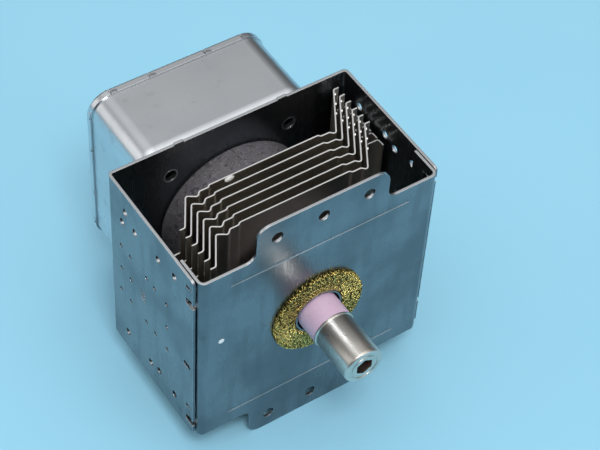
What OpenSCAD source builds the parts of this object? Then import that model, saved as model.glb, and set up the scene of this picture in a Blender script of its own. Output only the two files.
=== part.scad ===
// Cavity magnetron: folded steel yoke, finned copper anode, antenna and filter box.
// X runs across the mounting face, Y goes back from it and Z is up.
// The origin is where the antenna axis meets the mounting face.

/* [Yoke] */
// Width across the two side panels
yoke_w = 95; // [92:0.5:110]
// Height of the side panels and the back plate
yoke_h = 83; // [78:0.5:96]
// Depth from the mounting face to the back face
yoke_d = 56.8; // [56:0.2:64]
// Thickness of the folded yoke sheet
yoke_sheet = 1; // [0.8:0.1:1.5]
// Inside radius of the two back folds
yoke_fold_r = 0.8; // [0.5:0.1:2]
// Setback of the panels' front edges from the mounting face
panel_setback = 2.4; // [1.5:0.1:3]
// Diameter of the larger panel holes
panel_hole_d = 3; // [2:0.1:4]
// Diameter of the small punch marks on the panels
panel_mark_d = 1.9; // [1.2:0.1:2.4]
// Depth of the punch marks
panel_mark_depth = 0.6; // [0.3:0.05:0.7]
// Length of the lances that lock the panels to the front plate
lance_len = 9.4; // [8:0.1:10]
// Width of the lances
lance_w = 3.7; // [3:0.1:4.5]
// How far a lance's free side is pushed in
lance_push = 0.7; // [0.4:0.1:1]
// Height of the slit over a lance's tongue
lance_slit = 1.8; // [1:0.1:2.2]
// Height of the opening under a lance's tongue
lance_hole = 2.4; // [1.5:0.1:3]
// Strip between the lances and the panel's front edge
lance_margin = 0.8; // [0.6:0.1:1.5]
// Height of the lances' middle above and below the antenna axis
lance_rise = 32.4; // [30:0.1:34]
// Radius of the panels' front corners
panel_round = 1.5; // [0.8:0.1:2.5]
// Width of the shear tabs on the back plate's edges
shear_tab_w = 3.6; // [2:0.1:5]
// Height of the shear tabs
shear_tab_h = 0.5; // [0.3:0.1:1.5]
// Offset of the shear tabs from the middle
shear_tab_x = 20.5; // [15:0.5:30]

/* [Front plate] */
// Thickness of the front plate
face_sheet = 1; // [0.8:0.1:1.5]
// Inside radius of the front plate's side folds
face_fold_r = 1.5; // [1:0.1:2]
// Reach of the folded flanges behind the mounting face
flange_reach = 12.7; // [10:0.1:14]
// Space between the flanges and the side panels
flange_gap = 0.4; // [0.2:0.05:0.6]
// Width of the two fixing tabs
tab_w = 51; // [46:0.5:60]
// Reach of a fixing tab past the yoke
tab_reach = 14; // [12:0.5:18]
// Radius of the tabs' outer corners
tab_round = 5; // [3:0.5:6]
// Radius of the fillets at the tabs' roots
tab_root_r = 3.5; // [2:0.5:5]
// Spacing of the three fixing holes along a tab
hole_pitch = 17.7; // [15:0.1:19]
// Distance of the fixing holes from the yoke's edge
hole_rise = 6.7; // [5:0.1:8]
// Diameter of the fixing holes
hole_d = 4.5; // [3.5:0.1:6]
// Outer radius of the pressed collar round the antenna
collar_r = 9.2; // [9:0.1:10.5]
// Wall of the collar
collar_wall = 0.6; // [0.5:0.05:0.8]
// Height of the collar over the mounting face
collar_h = 1.4; // [0.8:0.1:2]
// Half length of the two stiffening grooves
groove_half = 34.5; // [28:0.5:38]
// Distance of the grooves from the yoke's edge
groove_inset = 6.7; // [5:0.1:10]
// Width of the grooves
groove_w = 1.2; // [0.8:0.1:2.2]
// Depth of the grooves
groove_depth = 0.25; // [0.15:0.05:0.6]

/* [Magnets] */
// Outer diameter of the ring magnets
magnet_d = 56.5; // [52:0.5:57]
// Hole of the ring magnets
magnet_bore = 21; // [20:0.5:24]
// Thickness of each ring magnet
magnet_t = 12.5; // [11:0.5:13]
// Chamfer on the magnets' edges
magnet_chamfer = 0.8; // [0.4:0.1:1.5]

/* [Cooling fins] */
// Thickness of a fin
fin_t = 0.5; // [0.4:0.05:0.8]
// Room between the rearmost fin's wing and the back plate
fin_back_room = 5.15; // [4:0.05:6]
// Height of the end tabs, lower than the fin
fin_tab_h = 60; // [50:1:66]
// Length of the level shelf between the flat middle and the wing
fin_shelf = 3.4; // [2.5:0.1:4.5]
// Forward dip before the wing
fin_dip = 2.5; // [2:0.1:3]
// Depth of the right wing's slope
wing_right = 17.65; // [16:0.05:18]
// Depth of the left wing's slope
wing_left = 11.45; // [9:0.05:12]
// Level length between the right wing's slope and the panel
end_right = 6.6; // [6:0.1:8]
// Level length between the left wing's slope and the panel
end_left = 7; // [6:0.1:8]
// Length of the level hook at the end of a wing, before the end tab
fin_hook = 2; // [1:0.1:3]
// Bend radius of the folds, at the middle of the sheet
fin_bend_r = 0.9; // [0.6:0.1:1.1]
// Diameter of the pips that keep the right wings apart
pip_d = 1.4; // [1:0.1:2]
// Height of the pips over the sheet
pip_h = 0.5; // [0.3:0.1:0.8]

/* [Tube] */
// Outer diameter of the anode cylinder
anode_d = 39; // [36:0.5:42]
// Wall of the anode cylinder
anode_wall = 2.2; // [1.8:0.1:3]
// Number of vanes
vane_count = 10; // [8:2:12]
// Thickness of a vane
vane_t = 1.8; // [1.4:0.1:2]
// Radius of the circle at the tips of the vanes
vane_tip_r = 4.6; // [4.4:0.1:5.2]
// Thickness of the strap rings
strap_t = 0.8; // [0.6:0.1:1]
// Space between the strap rings, and between them and the vanes' tips
strap_gap = 1; // [0.8:0.1:1.2]
// Thickness of the pole pieces
pole_t = 1.6; // [1.2:0.1:2]
// Depth of the dish in a pole piece
pole_dip = 5.6; // [5:0.1:6]
// Space between a pole piece and the vanes
pole_gap = 2.4; // [2:0.1:3]
// Radius of the hole in a pole piece
pole_hole_r = 4.7; // [4.6:0.1:5.2]
// Thickness of the seal cups
seal_t = 0.5; // [0.4:0.05:0.8]
// Outer radius of the seal cups' necks
neck_r = 9; // [8.6:0.1:9.6]
// Radius of the antenna lead
lead_r = 1; // [0.8:0.1:1.2]
// Radius of the circle where the antenna lead leaves its vane
lead_circle_r = 11; // [10.5:0.1:12]
// Radius of the cathode leads
cathode_lead_r = 0.75; // [0.5:0.05:0.9]
// Offset of the side lead from the axis
side_lead_x = 3.2; // [2.9:0.1:3.4]
// Radius of the end hats
hat_r = 4.2; // [4:0.1:4.4]
// Thickness of the end hats
hat_t = 1.2; // [0.8:0.1:1.6]
// Radius of the filament helix
filament_r = 1.9; // [1.6:0.1:2.4]
// Radius of the filament wire
filament_wire_r = 0.25; // [0.2:0.05:0.35]
// Number of turns of the filament
filament_turns = 8; // [6:1:10]

/* [Antenna] */
// Outer diameter of the antenna ceramic
ceramic_d = 15.4; // [14.6:0.1:16]
// Wall of the antenna ceramic
ceramic_wall = 2.1; // [1.6:0.1:2.6]
// Reach of the ceramic in front of the mounting face
ceramic_out = 10.2; // [9:0.1:12]
// Depth of the ceramic's seat behind the mounting face
ceramic_in = 6; // [4:0.5:8]
// Outer diameter of the cap
cap_d = 14.8; // [14:0.1:15.4]
// Length of the cap
cap_len = 18.4; // [16:0.1:20]
// Wall of the cap
cap_wall = 0.5; // [0.4:0.05:0.7]
// Thickness of the cap's end
cap_end_t = 0.9; // [0.8:0.05:1.2]
// Radius of the cap's rounded end
cap_round = 0.9; // [0.7:0.1:1.6]
// How far the lip at the cap's foot stands out
cap_lip = 0.4; // [0.3:0.1:0.7]
// Diameter of the ring sunk in the cap's end
cap_ring_d = 10.8; // [9.6:0.1:11.4]
// Width of that ring
cap_ring_w = 0.7; // [0.4:0.1:1]
// Depth of that ring
cap_ring_depth = 0.25; // [0.15:0.05:0.4]
// Width across the flats of the hexagonal hole
hex_af = 6; // [5:0.1:7]
// Outer radius of the exhaust tube
exhaust_r = 3.1; // [2.8:0.1:3.6]
// Wall of the exhaust tube
exhaust_wall = 0.7; // [0.5:0.05:0.9]
// Length of the exhaust tube
exhaust_len = 13; // [10:0.5:15]
// Length of the exhaust tube's pinched tip
exhaust_tip = 1.2; // [0.8:0.1:1.6]
// Outer diameter of the knitted gasket
gasket_d = 36; // [32:0.5:40]
// Thickness of the gasket
gasket_t = 2; // [1.6:0.1:3]

/* [Filter box] */
// Width of the box
box_w = 69.2; // [64:0.2:74]
// Height of the box
box_h = 70.3; // [66:0.1:74]
// Depth of the box and its lid behind the yoke
box_depth = 36.8; // [35:0.2:42]
// Height of the box's middle over the antenna axis
box_rise = 2; // [0:0.5:3]
// Wall of the box
box_wall = 0.7; // [0.5:0.05:1]
// Radius of the box's upright corners
box_corner_r = 8; // [6.5:0.5:10]
// Draw radius round the closed end
box_draw_r = 6; // [4:0.5:6.5]
// Thickness of the lid
lid_t = 0.6; // [0.5:0.05:0.9]
// Length of the lid's skirt
skirt_len = 2.3; // [1.8:0.1:3]
// Radius of the lid's edge
lid_edge_r = 1; // [0.7:0.1:1.4]
// Width of the slots in the skirt
skirt_slot_w = 0.5; // [0.4:0.1:1]
// Distance of the middle slots from the middle of each side
skirt_slot_x = 11.2; // [9:0.1:14]
// Length of the bent lips beside the slots
skirt_lip_len = 2.4; // [1.5:0.1:4]
// How far the lips stand out
skirt_lip_h = 0.5; // [0.3:0.1:0.8]
// Sideways distance of the clinched bosses that hold the box
boss_x = 23.8; // [20:0.1:26]
// Up and down distance of the bosses from the box's middle
boss_z = 25.4; // [24:0.1:27]
// Radius of a boss
boss_r = 2.8; // [2.4:0.1:3.2]
// Radius of the hole through a boss
boss_bore_r = 2.3; // [1.8:0.1:2.3]

/* [Filter] */
// Length of the stem ceramic
stem_len = 8; // [6:0.5:9]
// Radius of the stem ceramic
stem_r = 8.2; // [7.8:0.1:8.5]
// Height of the stem ceramic's seat over the yoke's back face
stem_rise = 5; // [4:0.5:6]
// Offset of the terminal posts from the axis
post_x = 6.5; // [6:0.1:7]
// Length of the terminal posts
post_len = 4; // [3:0.5:5]
// Radius of the terminal posts
post_r = 1; // [0.8:0.1:1.2]
// Thickness of the terminal plates
post_plate_t = 0.8; // [0.6:0.1:1]
// Offset of the choke coils from the middle
coil_x = 12; // [11:0.5:14]
// Radius of the choke coils, at the middle of the wire
coil_r = 4.2; // [3.6:0.1:4.6]
// Radius of the choke wire
coil_wire_r = 0.7; // [0.5:0.05:0.8]
// Pitch of the choke coils
coil_pitch = 2.2; // [1.9:0.1:2.4]
// Number of turns of a choke
coil_turns = 8; // [6:1:9]
// Length of the flange of the feed-through capacitor
capacitor_flange_w = 40; // [38:0.5:44]
// Width of the flange
capacitor_flange_d = 20; // [18:0.5:22]
// Thickness of the flange
capacitor_flange_t = 0.85; // [0.6:0.05:1.2]
// Length of the capacitor's oval body
capacitor_w = 28; // [26:0.5:29]
// Width of the capacitor's oval body
capacitor_d = 15; // [13:0.5:16]
// Reach of the body under the flange
capacitor_out = 9.5; // [8:0.5:11]
// Reach of the body inside the box
capacitor_in = 8; // [6:0.5:9]
// Length of the blade terminals
blade_len = 12; // [9:0.5:13]
// Width of the blade terminals
blade_w = 6.3; // [4.8:0.1:6.4]
// Thickness of the blade terminals
blade_t = 0.8; // [0.6:0.1:1]
// Offset of the blades from the middle
blade_x = 7; // [6:0.5:8]
// Radius of the rivets' shanks
rivet_r = 1.6; // [1.2:0.1:1.8]
// Radius of the rivets' heads
rivet_head_r = 2.5; // [2.2:0.1:2.8]
// Thickness of the rivets' heads
rivet_head_t = 1; // [0.6:0.1:1.4]

/* [Hidden] */
FIN_COUNT = 6;
FIN_NODES = [for (i = [1:FIN_COUNT]) str("cooling_fin_", i)];
CHOKE_NODES = [for (kind = ["core", "coil"]) for (i = [1:2]) str("choke_", kind, "_", i)];
FIXED_NODES = [
    "yoke_frame", "front_plate", "front_magnet", "rear_magnet",
    "anode_cylinder", "anode_vanes", "strap_rings", "front_pole_piece", "rear_pole_piece",
    "front_seal_cup", "rear_seal_cup", "cathode_filament", "front_end_hat", "rear_end_hat",
    "centre_lead", "side_lead", "antenna_lead", "antenna_ceramic", "exhaust_tube", "antenna_cap",
    "rf_gasket", "filter_box", "filter_lid", "stem_ceramic", "stem_terminals",
    "capacitor_flange", "capacitor_body", "capacitor_blades", "capacitor_rivets"
];
$fn = 64;

// Clearance of pieces that are pressed, brazed or clinched together
press_gap = 0.05;
// Clearance of pieces that only pass each other
pass_gap = 0.2;
// Extra length of a cutting tool past the face that it cuts
cut = 1;

// Levels along the depth axis
front_magnet_end = face_sheet + magnet_t;
back_in = yoke_d - yoke_sheet;
rear_magnet_start = back_in - magnet_t;
anode_start = front_magnet_end + seal_t + pole_t;
anode_end = rear_magnet_start - seal_t - pole_t;
anode_len = anode_end - anode_start;
anode_mid = (anode_start + anode_end) / 2;
vane_len = anode_len - 2 * (pole_dip + pole_gap);
vane_start = anode_mid - vane_len / 2;
vane_end = anode_mid + vane_len / 2;
cap_tip = -ceramic_out - cap_len;
stem_seat = yoke_d + stem_rise;
stem_end = stem_seat + stem_len;
box_rim = yoke_d + box_depth - lid_t;

// Radii shared by neighbouring pieces
anode_r = anode_d / 2;
anode_bore_r = anode_r - anode_wall;
vane_root_r = anode_bore_r - press_gap;
magnet_r = magnet_d / 2;
collar_bore_r = collar_r - collar_wall;
neck_lip_r = ceramic_d / 2 - ceramic_wall / 2;
stem_hole_r = neck_r + 1;
fold_out = yoke_fold_r + yoke_sheet;
face_fold_out = face_fold_r + face_sheet;
panel_in = yoke_w / 2 - yoke_sheet;
flange_out = panel_in - flange_gap;

// Pole pieces: width of the flat face round the hole, and of the rim inside the anode
pole_face_w = 4;
pole_rim_w = 2;

// Antenna lead: room round it in the pole piece, and distance of its bends from their neighbours
lead_space = 1.4;
lead_bend = 2;

// Fin layout: the front fin's dip just clears the front magnet
fin_front = front_magnet_end + pass_gap + fin_dip + fin_t / 2;
fin_rim = 1.9;
fin_inset = 0.1;
fin_flat = anode_r + fin_rim;
fin_jog = 0.8;
fin_rise_x = 3.4;
fin_rise_y = 2.2;
fin_dip_x = 1.6;
fin_half_h = yoke_h / 2 - fin_inset;
fin_end_x = flange_out - face_sheet - pass_gap - fin_t / 2;
shelf_end = fin_flat + fin_jog + fin_shelf;
dip_x = shelf_end + fin_dip_x;
right_foot = [dip_x, -fin_dip];
right_tip = [fin_end_x - end_right, wing_right - fin_dip];
right_slope = right_tip - right_foot;
left_foot = [-dip_x - fin_rise_x, fin_rise_y - fin_dip];
left_tip = [end_left - fin_end_x, left_foot[1] - wing_left];
fin_rear = back_in - fin_back_room - fin_t / 2 - right_tip[1];
fin_pitch = (fin_rear - fin_front) / (FIN_COUNT - 1);
fin_flange = fin_pitch - fin_t - pass_gap;
fin_path = [
    [-fin_end_x, left_tip[1] + fin_flange],
    [-fin_end_x, left_tip[1]],
    left_tip,
    left_foot,
    [-dip_x, -fin_dip],
    [-shelf_end, -fin_jog],
    [-fin_flat - fin_jog, -fin_jog],
    [-fin_flat, 0],
    [fin_flat, 0],
    [fin_flat + fin_jog, -fin_jog],
    [shelf_end, -fin_jog],
    right_foot,
    right_tip,
    [fin_end_x, right_tip[1]],
    [fin_end_x, right_tip[1] - fin_flange]
];
PIP_PLACES = [0.5, 0.72, 0.94];

// Left panel's holes and punch marks as [depth, height]; the right panel is turned half round
PANEL_HOLES = [
    [45.3, 33], [24.2, 30.8], [13.9, 32.8], [47.5, 26.2], [39.2, 28.9],
    [46, -32.3], [30.4, -32.3], [24.5, -30.6], [14.4, -32.4]
];
PANEL_MARKS = [
    [48.9, 12.7], [42.8, 12.7], [32, 12.7], [26.9, 12.7], [19.1, 12.7],
    [49, 0.5], [42.8, 0.5], [19, 0.5],
    [49.9, -11.8], [43.3, -11.8], [32.8, -11.8], [26.8, -11.8], [19, -11.8]
];
PANEL_PAD = [34.7, 0.5];
PANEL_PAD_SIZE = [3, 5];
PANEL_PAD_DEPTH = 0.35;
PANEL_PAD_TEETH = [2, 3];
PANEL_SLOT = [6.2, -5.7];
PANEL_SLOT_SIZE = [4.4, 2.2];
lance_y = panel_setback + lance_margin + lance_w / 2;

// Turn of the cap's hexagonal hole
HEX_TURN = 30;

// Filter layout
box_mid_y = yoke_d + box_depth / 2;
box_floor = box_rise - box_h / 2;
lid_w = box_w + 2 * (lid_t + press_gap);
lid_h = box_h + 2 * (lid_t + press_gap);
lid_corner_r = box_corner_r + lid_t + press_gap;
post_plate_end = stem_end + post_plate_t;
post_end = post_plate_end + post_len;
coil_lead_y = post_end + coil_wire_r + press_gap;
coil_y = coil_lead_y + 3 * coil_wire_r + coil_r;
coil_top = coil_pitch * coil_turns / 2;
pin_len = 5;
pin_top = box_floor + box_wall + capacitor_in + pin_len;
core_end = 3;
rivet_x = capacitor_w / 2 + rivet_head_r + 3 * pass_gap;

function unit(v) = v / norm(v);
function turn_left(v) = [-v[1], v[0]];

// Points of an arc of radius r that rounds the corner b between a and c
function corner_arc(a, b, c, r, steps = 4) =
    let (
        u = unit(a - b),
        v = unit(c - b),
        half = acos(u * v) / 2,
        middle = b + unit(u + v) * r / sin(half),
        from = unit(b + u * r / tan(half) - middle),
        to = unit(b + v * r / tan(half) - middle),
        sweep = acos(from * to)
    )
    [for (i = [0:steps])
        let (k = i / steps)
        middle + r * (sin((1 - k) * sweep) * from + sin(k * sweep) * to) / sin(sweep)];

// An open path with all its inner corners rounded
function round_path(path, r) = concat(
    [path[0]],
    [for (i = [1:len(path) - 2]) each corner_arc(path[i - 1], path[i], path[i + 1], r)],
    [path[len(path) - 1]]
);

// Direction of an open path at point i
function path_dir(path, i) =
    let (last = len(path) - 1)
    unit(unit(path[min(i + 1, last)] - path[min(i, last - 1)])
        + unit(path[max(i, 1)] - path[max(i - 1, 0)]));

// One edge of a strip that follows a path at the given distance to its left
function strip_edge(path, gap) = [for (i = [0:len(path) - 1]) path[i] + gap * turn_left(path_dir(path, i))];
function reversed(list) = [for (i = [len(list) - 1:-1:0]) list[i]];

// Helix about the Z axis, starting at the given angle
function helix(r, pitch, turns, start, steps = 14) =
    [for (i = [0:turns * steps])
        let (angle = start + 360 * i / steps)
        [r * cos(angle), r * sin(angle), pitch * i / steps]];

// Normals that follow a path in space without twisting
function across(t) = unit(cross(t, abs(t[2]) < 0.9 ? [0, 0, 1] : [1, 0, 0]));
function square_to(n, t) = unit(n - (n * t) * t);
function path_normals(tangents) =
    [for (i = 0, n = across(tangents[0]);
        i < len(tangents);
        i = i + 1, n = i < len(tangents) ? square_to(n, tangents[i]) : n) n];

// A round wire along a path in space
module wire(path, r, sides = 8) {
    tangents = [for (i = [0:len(path) - 1]) path_dir(path, i)];
    normals = path_normals(tangents);
    rings = len(path);
    points = [for (i = [0:rings - 1]) for (j = [0:sides - 1])
        let (side = cross(tangents[i], normals[i]))
        path[i] + r * (cos(360 * j / sides) * normals[i] + sin(360 * j / sides) * side)];
    walls = [for (i = [0:rings - 2]) for (j = [0:sides - 1])
        let (a = i * sides + j, b = i * sides + (j + 1) % sides)
        each [[a, a + sides, b + sides], [a, b + sides, b]]];
    start_cap = [for (j = [0:sides - 1]) j];
    end_cap = [for (j = [sides - 1:-1:0]) (rings - 1) * sides + j];
    polyhedron(points, concat([start_cap], walls, [end_cap]), convexity = 10);
}

// Turns children so that their Z axis runs back along the depth axis
module along_y(y) {
    translate([0, y, 0]) rotate([-90, 0, 0]) children();
}

// A ring about the depth axis
module ring(y, length, r_out, r_in) {
    along_y(y) rotate_extrude() translate([r_in, 0]) square([r_out - r_in, length]);
}

// Both halves of what repeats after half a turn about the depth axis
module half_turns() {
    for (turn = [0, 180]) rotate([0, turn, 0]) children();
}

// A stadium outline of overall length w and width d
module stadium(w, d) {
    square([w - d, d], center = true);
    for (side = [-1, 1]) translate([side * (w - d) / 2, 0]) circle(d = d);
}

// Section of a drawn wall block, with its lower outer edge rounded
module drawn_profile(reach, depth, edge_r) {
    square([reach - edge_r, depth]);
    translate([0, edge_r]) square([reach, depth - edge_r]);
    intersection() {
        translate([reach - edge_r, edge_r]) circle(edge_r);
        translate([reach - edge_r, 0]) square(edge_r);
    }
}

// A deep-drawn block: rounded-rectangle plan, closed end at the bottom with a rounded edge
module drawn_block(w, h, depth, corner_r, edge_r) {
    flat_w = w - 2 * corner_r;
    flat_h = h - 2 * corner_r;
    translate([-flat_w / 2, -flat_h / 2, 0]) cube([flat_w, flat_h, depth]);
    for (turn = [0, 180]) {
        rotate([0, 0, turn]) translate([flat_w / 2, flat_h / 2, 0]) rotate([90, 0, 0])
            linear_extrude(flat_h) drawn_profile(corner_r, depth, edge_r);
        rotate([0, 0, turn + 90]) translate([flat_h / 2, flat_w / 2, 0]) rotate([90, 0, 0])
            linear_extrude(flat_w) drawn_profile(corner_r, depth, edge_r);
    }
    for (quarter = [0:3]) {
        side_x = (quarter == 0 || quarter == 3) ? 1 : -1;
        side_y = quarter < 2 ? 1 : -1;
        translate([side_x * flat_w / 2, side_y * flat_h / 2, 0]) rotate([0, 0, 90 * quarter])
            rotate_extrude(angle = 90) drawn_profile(corner_r, depth, edge_r);
    }
}

// A quarter fold of sheet metal about the Z axis
module fold(r_in, sheet, height) {
    rotate_extrude(angle = 90) translate([r_in, -height / 2]) square([sheet, height]);
}

// Hole tool through the left panel
module panel_hole(place, d) {
    translate([-yoke_w / 2 - cut, place[0], place[1]]) rotate([0, 90, 0])
        cylinder(d = d, h = yoke_sheet + 2 * cut);
}

// Flat-bottomed punch mark in a face that looks along -X
module punch_mark(d, depth) {
    rotate([0, 90, 0]) cylinder(d = d, h = 2 * depth, center = true);
}

// Slanted tongue of a lance: hinged at its rear side, pushed in at its front side
module lance_tongue() {
    tongue = [yoke_sheet, lance_w, lance_len - lance_slit - lance_hole];
    tilt = atan(lance_push / lance_w);
    translate([-yoke_w / 2, lance_w / 2, lance_hole - lance_len / 2]) rotate([0, 0, tilt])
        translate([0, -lance_w, 0]) cube(tongue);
}

// Window that a lance leaves in the panel
module lance_window(extra) {
    window = [yoke_sheet + 2 * cut, lance_w + 2 * extra, lance_len + 2 * extra];
    translate([-yoke_w / 2 - cut, -window[1] / 2, -window[2] / 2]) cube(window);
}

// Notch from the foot of a lance's window to the panel's front edge
module lance_foot() {
    reach = lance_margin + cut;
    translate([-yoke_w / 2 - cut, -lance_w / 2 - reach, -lance_len / 2])
        cube([yoke_sheet + 2 * cut, lance_w + reach, lance_hole]);
}

// Tool that rounds the panel's upper or lower front corner
module panel_corner(side) {
    translate([-yoke_w / 2 - cut, panel_setback, side * yoke_h / 2]) rotate([0, 90, 0])
        linear_extrude(yoke_sheet + 2 * cut) difference() {
            square(2 * panel_round, center = true);
            translate([side * panel_round, panel_round]) circle(panel_round);
        }
}

// Sunk pad in the left panel, with rows of small square teeth
module panel_pad() {
    size = PANEL_PAD_SIZE;
    pitch = [for (i = [0:1]) size[i] / PANEL_PAD_TEETH[i]];
    translate([-yoke_w / 2, PANEL_PAD[0], PANEL_PAD[1]]) difference() {
        cube([2 * PANEL_PAD_DEPTH, size[0], size[1]], center = true);
        for (i = [1:PANEL_PAD_TEETH[0]]) for (j = [1:PANEL_PAD_TEETH[1]])
            translate([0, (i - 0.5) * pitch[0] - size[0] / 2, (j - 0.5) * pitch[1] - size[1] / 2])
                cube([3 * PANEL_PAD_DEPTH, pitch[0] / 2, pitch[1] / 2], center = true);
    }
}

module at_lances() {
    for (side = [-1, 1]) translate([0, lance_y, side * lance_rise]) children();
}

module left_panel() {
    panel_len = yoke_d - fold_out - panel_setback;
    difference() {
        translate([-yoke_w / 2, panel_setback, -yoke_h / 2]) cube([yoke_sheet, panel_len, yoke_h]);
        for (place = PANEL_HOLES) panel_hole(place, panel_hole_d);
        for (place = PANEL_MARKS)
            translate([-yoke_w / 2, place[0], place[1]]) punch_mark(panel_mark_d, panel_mark_depth);
        panel_pad();
        for (side = [-1, 1]) panel_corner(side);
        translate([-yoke_w / 2 - cut, PANEL_SLOT[0], PANEL_SLOT[1]]) rotate([90, 0, 90])
            linear_extrude(yoke_sheet + 2 * cut) stadium(PANEL_SLOT_SIZE[0], PANEL_SLOT_SIZE[1]);
        at_lances() {
            lance_window(0);
            lance_foot();
        }
    }
    at_lances() lance_tongue();
}

module yoke_frame() {
    color("#8f989e")
    difference() {
        union() {
            translate([-yoke_w / 2 + fold_out, back_in, -yoke_h / 2])
                cube([yoke_w - 2 * fold_out, yoke_sheet, yoke_h]);
            half_turns() {
                left_panel();
                translate([-yoke_w / 2 + fold_out, yoke_d - fold_out, 0]) rotate([0, 0, 90])
                    fold(yoke_fold_r, yoke_sheet, yoke_h);
                for (side = [-1, 1])
                    translate([side * shear_tab_x - shear_tab_w / 2, back_in, yoke_h / 2 - cut])
                        cube([shear_tab_w, yoke_sheet, shear_tab_h + cut]);
            }
        }
        along_y(back_in - cut) cylinder(r = stem_hole_r, h = yoke_sheet + 2 * cut);
        at_bosses() along_y(back_in - cut) cylinder(r = boss_r + press_gap, h = yoke_sheet + 2 * cut);
    }
}

module at_bosses() {
    for (sx = [-1, 1]) for (sz = [-1, 1])
        translate([sx * boss_x, 0, box_rise + sz * boss_z]) children();
}

// Outline of a fixing tab that rises from the line y = 0
module tab_outline() {
    half = tab_w / 2;
    translate([-half, -cut]) square([tab_w, tab_reach - tab_round + cut]);
    translate([-half + tab_round, 0]) square([tab_w - 2 * tab_round, tab_reach]);
    for (side = [-1, 1]) {
        translate([side * (half - tab_round), tab_reach - tab_round]) circle(tab_round);
        difference() {
            translate([side * half + (side - 1) / 2 * tab_root_r, -cut])
                square([tab_root_r, tab_root_r + cut]);
            translate([side * (half + tab_root_r), tab_root_r]) circle(tab_root_r);
        }
    }
}

// Round-ended stiffening groove in the mounting face
module face_groove() {
    r = (groove_w * groove_w / 4 + groove_depth * groove_depth) / (2 * groove_depth);
    translate([0, groove_depth - r, yoke_h / 2 - groove_inset]) {
        rotate([0, 90, 0]) cylinder(r = r, h = 2 * groove_half, center = true);
        for (side = [-1, 1]) translate([side * groove_half, 0, 0]) sphere(r);
    }
}

module front_plate() {
    flat_half = flange_out - face_fold_out;
    color("#98a2a8")
    difference() {
        union() {
            translate([-flat_half, 0, -yoke_h / 2]) cube([2 * flat_half, face_sheet, yoke_h]);
            half_turns() {
                translate([0, face_sheet, yoke_h / 2]) rotate([90, 0, 0])
                    linear_extrude(face_sheet) tab_outline();
                translate([-flat_half, face_fold_out, 0]) rotate([0, 0, 180])
                    fold(face_fold_r, face_sheet, yoke_h);
                difference() {
                    translate([-flange_out, face_fold_out, -yoke_h / 2])
                        cube([face_sheet, flange_reach - face_fold_out, yoke_h]);
                    translate([yoke_sheet, 0, 0]) at_lances() lance_window(pass_gap);
                }
            }
            ring(-collar_h, collar_h + face_sheet, collar_r, collar_bore_r);
        }
        along_y(-cut) cylinder(r = collar_bore_r, h = face_sheet + 2 * cut);
        half_turns() {
            for (i = [-1:1])
                translate([i * hole_pitch, 0, yoke_h / 2 + hole_rise]) along_y(-cut)
                    cylinder(d = hole_d, h = face_sheet + 2 * cut);
            face_groove();
        }
    }
}

module ring_magnet(y) {
    c = magnet_chamfer;
    r_in = magnet_bore / 2;
    along_y(y) rotate_extrude() polygon([
        [r_in + c, 0], [magnet_r - c, 0], [magnet_r, c], [magnet_r, magnet_t - c],
        [magnet_r - c, magnet_t], [r_in + c, magnet_t], [r_in, magnet_t - c], [r_in, c]
    ]);
}

module front_magnet() {
    color("#3d3d40") ring_magnet(face_sheet);
}

module rear_magnet() {
    color("#3d3d40") ring_magnet(rear_magnet_start);
}

// One folded fin, pressed on the anode by its collar; fin 1 is next to the mounting face
module cooling_fin(index) {
    path = round_path(fin_path, fin_bend_r);
    collar_in = anode_r + press_gap;
    color("#d9dadb")
    translate([0, fin_front + (index - 1) * fin_pitch, 0])
    difference() {
        union() {
            linear_extrude(2 * fin_half_h, center = true)
                polygon(concat(strip_edge(path, fin_t / 2), reversed(strip_edge(path, -fin_t / 2))));
            ring(0, fin_pitch - fin_t / 2 - pass_gap, collar_in + fin_t, collar_in);
            fin_pips();
        }
        along_y(-fin_pitch / 2) cylinder(r = collar_in, h = fin_pitch);
        fin_end_cut(right_tip[0], 1);
        fin_end_cut(-left_tip[0], -1);
    }
}

// Cuts the corner of a fin above its end tab
module fin_end_cut(tip_x, side) {
    cut_x = tip_x + fin_hook;
    for (half = [-1, 1])
        translate([side > 0 ? cut_x : -yoke_w, -yoke_d, half > 0 ? fin_tab_h / 2 : -yoke_h])
            cube([yoke_w - (side > 0 ? 0 : cut_x), 2 * yoke_d, yoke_h - (half > 0 ? 0 : fin_tab_h / 2)]);
}

// Pips on the front side of the right wing, near the top and the bottom
module fin_pips() {
    for (place = PIP_PLACES) for (half = [-1, 1]) {
        foot = right_foot + place * right_slope;
        lean = atan2(right_slope[1], right_slope[0]);
        translate([foot[0], foot[1], half * (fin_half_h - pip_d)]) rotate([0, 90, lean - 90])
            cylinder(d = pip_d, h = fin_t / 2 + pip_h);
    }
}

module anode_cylinder() {
    color("#b87333") ring(anode_start, anode_len, anode_r, anode_bore_r);
}

module anode_vanes() {
    color("#b87333")
    for (i = [0:vane_count - 1])
        rotate([0, 360 * i / vane_count, 0])
        intersection() {
            translate([-vane_t / 2, vane_start, vane_tip_r]) cube([vane_t, vane_len, anode_r - vane_tip_r]);
            along_y(vane_start - cut) cylinder(r = vane_root_r, h = vane_len + 2 * cut);
        }
}

module strap_rings() {
    inner_r = vane_tip_r + strap_gap;
    color("#c07f45")
    for (y = [vane_start - strap_t, vane_end]) {
        ring(y, strap_t, inner_r + strap_t, inner_r);
        ring(y, strap_t, inner_r + strap_gap + 2 * strap_t, inner_r + strap_gap + strap_t);
    }
}

// Dished iron disc, drawn with its dish towards positive Y
module pole_piece() {
    flat_r = pole_hole_r + pole_face_w;
    rim_r = anode_bore_r - pole_rim_w;
    along_y(0) rotate_extrude() polygon([
        [pole_hole_r, pole_dip - pole_t], [flat_r, pole_dip - pole_t], [rim_r, -pole_t], [anode_r, -pole_t],
        [anode_r, 0], [rim_r, 0], [flat_r, pole_dip], [pole_hole_r, pole_dip]
    ]);
}

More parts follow.
